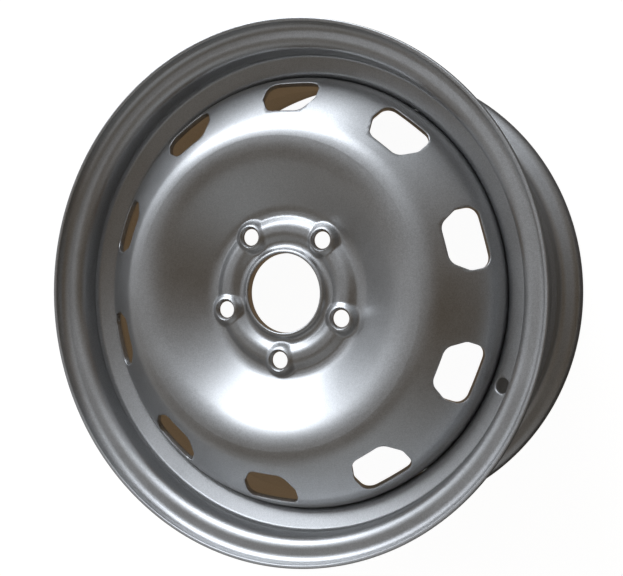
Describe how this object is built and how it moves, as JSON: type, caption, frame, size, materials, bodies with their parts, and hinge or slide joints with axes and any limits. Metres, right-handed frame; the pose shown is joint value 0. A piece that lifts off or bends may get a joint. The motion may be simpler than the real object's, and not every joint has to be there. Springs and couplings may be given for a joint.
{
  "type": "steel wheel rim",
  "caption": "Pressed steel road wheel: a roll-formed drop-centre rim and a welded-in disc with a hub bore, cone-seated bolt bosses and a ring of ventilation windows.",
  "frame": {"origin": "on the axis of rotation, in the plane that the lip of the inboard flange lies on", "axes": "+Z along the axis of rotation towards the outboard face, +Y through the centre of a bolt hole"},
  "size_m": [0.4406, 0.4406, 0.1912],
  "materials": {
    "rim_paint": "silver metallic paint, satin gloss",
    "disc_paint": "silver metallic paint, satin gloss",
    "weld_paint": "silver paint over rough weld metal"
  },
  "bodies": {
    "root": {"rim": "rim_paint", "disc": "disc_paint", "weld_bead_1": "weld_paint", "weld_bead_2": "weld_paint", "weld_bead_3": "weld_paint", "weld_bead_4": "weld_paint", "weld_bead_5": "weld_paint", "weld_bead_6": "weld_paint", "weld_bead_7": "weld_paint", "weld_bead_8": "weld_paint", "weld_bead_9": "weld_paint", "weld_bead_10": "weld_paint"}
  },
  "joints": []
}
